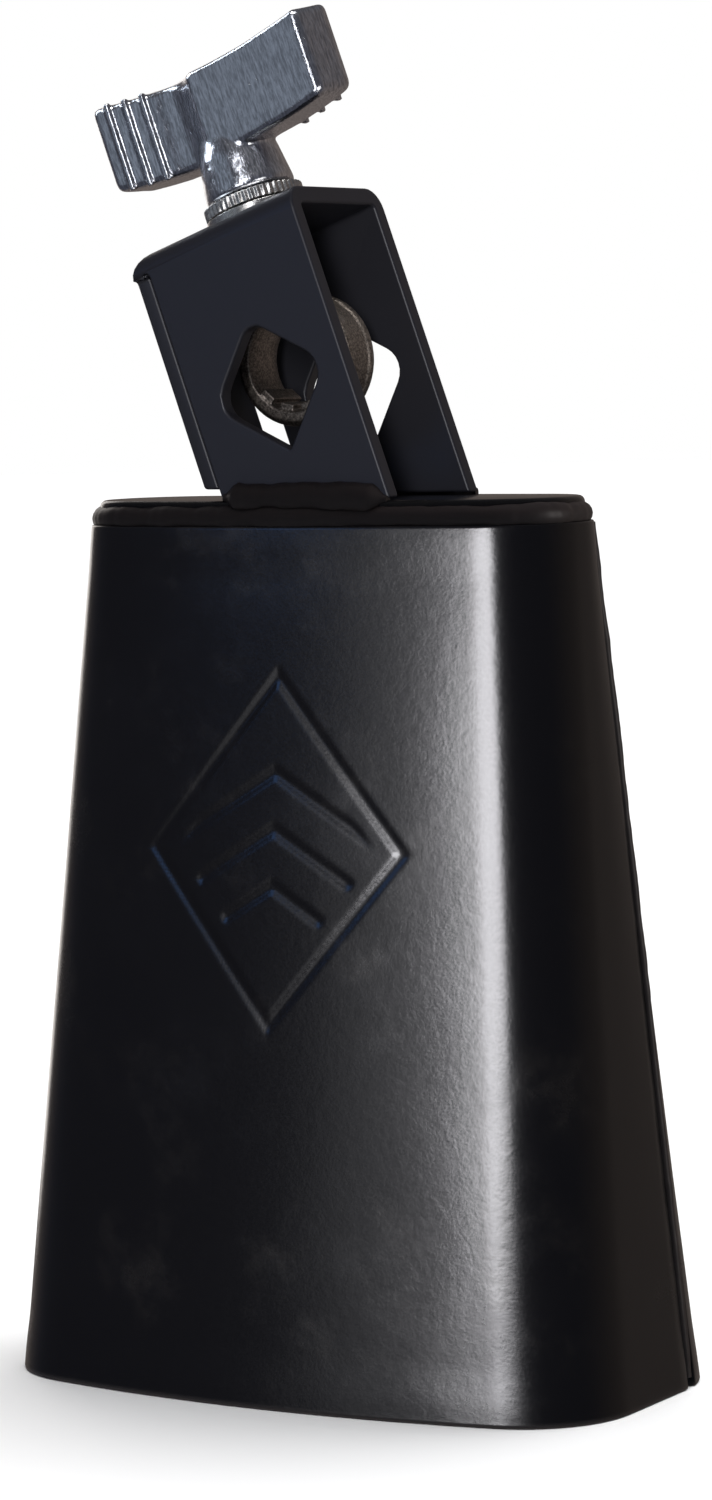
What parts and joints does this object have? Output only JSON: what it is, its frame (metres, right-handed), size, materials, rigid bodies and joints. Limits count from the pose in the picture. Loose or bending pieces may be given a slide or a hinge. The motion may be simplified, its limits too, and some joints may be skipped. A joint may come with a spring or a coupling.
{
  "type": "cowbell",
  "caption": "Hand percussion bell of welded steel sheet, closed and narrower at the top, with a leaning bracket whose eye bolt and wing nut clamp it to a mounting rod",
  "frame": {"origin": "centre of the mouth, on the plane of its rim", "axes": "+X across the wide faces, to the right seen from the front; +Y to the rear; +Z from the mouth to the closed end and the clamp"},
  "size_m": [0.099, 0.056, 0.1975],
  "materials": {
    "shell_coat": "satin black powder coat with a fine grain",
    "weld_coat": "the same black coat, glossier over the weld beads",
    "bracket_coat": "smooth semi-gloss black coat",
    "cast_steel": "dull grey-brown cast metal with a sand-cast grain",
    "plated_washer": "bright plated steel",
    "chrome": "bright chrome plate over a die casting"
  },
  "bodies": {
    "bell": {"front_shell": "shell_coat", "rear_shell": "shell_coat", "end_cap": "shell_coat", "cap_weld": "weld_coat", "seam_weld_left": "weld_coat", "seam_weld_right": "weld_coat", "clamp_bracket": "bracket_coat", "bracket_weld_front": "weld_coat", "bracket_weld_rear": "weld_coat", "flat_washer": "plated_washer"},
    "nut": {"wing_nut": "chrome", "lock_washer": "plated_washer"},
    "eye": {"eye_bolt": "cast_steel"}
  },
  "joints": [
    {"name": "wing_nut_turn", "type": "hinge", "parent": "bell", "child": "nut", "pos_m": [0.0023, 0, 0.127], "axis": [-0.3371, 0, 0.9415], "range_deg": [-2160, 1440]},
    {"name": "eye_bolt_slide", "type": "slide", "parent": "bell", "child": "eye", "axis": [-0.3371, 0, 0.9415], "range_m": [-0.0051, 0.00765]}
  ],
  "couplings": [
    {"joint": "eye_bolt_slide", "follows": "wing_nut_turn", "m_per_rad": -0.00020213}
  ]
}
